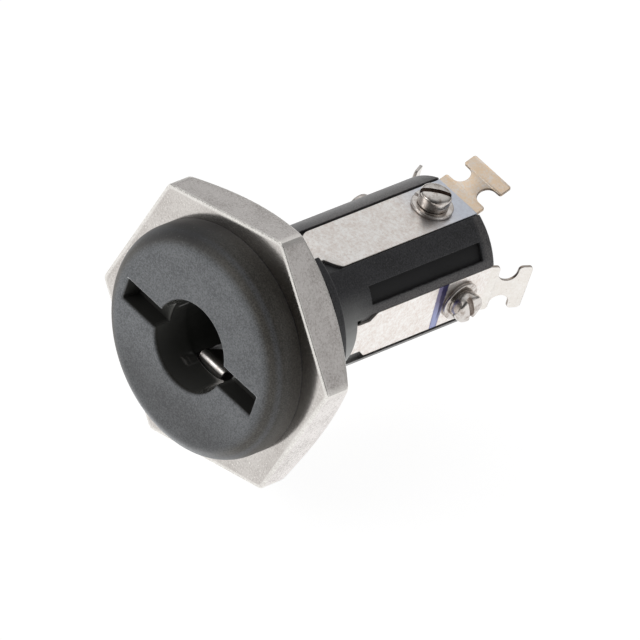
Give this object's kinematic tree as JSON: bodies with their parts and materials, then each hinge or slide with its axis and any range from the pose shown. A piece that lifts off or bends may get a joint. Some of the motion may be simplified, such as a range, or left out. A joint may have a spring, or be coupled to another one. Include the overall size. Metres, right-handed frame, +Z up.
{
  "type": "panel mount audio jack",
  "caption": "Telephone jack for a panel: slotted domed flange, threaded bushing with a hexagon nut, ribbed barrel and screwed-on contact strips with solder lugs.",
  "frame": {"origin": "on the plug's axis, in the plane of the flange's rear face where the panel seats", "axes": "-Y out of the plug's mouth, +Y to the solder lugs, +Z up through the top contact"},
  "size_m": [0.023, 0.0299, 0.0232],
  "materials": {
    "moulding": "fine matte moulding",
    "nut": "tumbled nickel plate",
    "contact": "satin nickel silver",
    "fastener": "bright nickel plate"
  },
  "bodies": {
    "jack": {"body": "moulding", "ring_contact": "contact", "tip_contact": "contact", "sleeve_contact": "contact", "far_ring_contact": "contact", "ring_screw": "fastener", "tip_screw": "fastener", "sleeve_screw": "fastener", "far_ring_screw": "fastener", "ring_lock_washer": "fastener", "tip_lock_washer": "fastener", "sleeve_lock_washer": "fastener", "far_ring_lock_washer": "fastener"},
    "nut": {"hex_nut": "nut"}
  },
  "joints": [
    {"name": "nut_travel", "type": "slide", "parent": "jack", "child": "nut", "axis": [0, 1, 0], "range_m": [0, 0.0028]}
  ]
}
